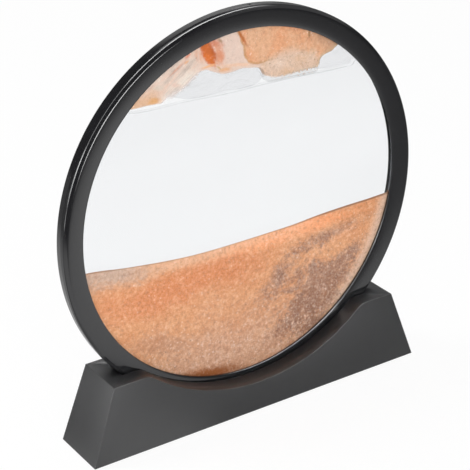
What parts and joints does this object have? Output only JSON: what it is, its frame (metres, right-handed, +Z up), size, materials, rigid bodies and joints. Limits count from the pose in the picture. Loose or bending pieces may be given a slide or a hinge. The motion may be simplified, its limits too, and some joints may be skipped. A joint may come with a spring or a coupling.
{
  "type": "moving sand art frame",
  "caption": "Round glass cell of liquid and orange sand in a black ring, which stands in a grooved black base and can be lifted out and turned so that the sand falls again.",
  "frame": {"origin": "on the surface it stands on, under the middle of the base", "axes": "+X along the base to the right, -Y to the front, +Z up"},
  "size_m": [0.18, 0.029, 0.1862],
  "materials": {
    "ring_black": "polished moulded black",
    "base_black": "satin moulded black",
    "clear_glass": "clear",
    "spacer_grey": "smooth grey",
    "seal_black": "matte gasket",
    "rubber_black": "matte rubber",
    "screw_steel": "plated steel",
    "liquid": "clear liquid",
    "sand": "fine dyed sand, orange with grey-brown drifts"
  },
  "bodies": {
    "base": {"base_shell": "base_black", "bottom_cover": "base_black", "cover_screw_left": "screw_steel", "cover_screw_right": "screw_steel", "foot_front_left": "rubber_black", "foot_front_right": "rubber_black", "foot_rear_left": "rubber_black", "foot_rear_right": "rubber_black"},
    "fill": {"clear_liquid": "liquid", "sand_bed": "sand", "hanging_sand": "sand"},
    "disc": {"front_bezel": "ring_black", "rear_bezel": "ring_black", "front_glass": "clear_glass", "rear_glass": "clear_glass", "spacer_ring": "spacer_grey", "front_seal": "seal_black", "rear_seal": "seal_black", "fill_plug": "rubber_black"}
  },
  "joints": [
    {"name": "disc_lift", "type": "slide", "parent": "base", "child": "fill", "axis": [0, 0, 1], "range_m": [0, 0.06]},
    {"name": "disc_turn", "type": "hinge", "parent": "fill", "child": "disc", "pos_m": [0, 0, 0.0962], "axis": [0, 1, 0], "continuous": true}
  ]
}
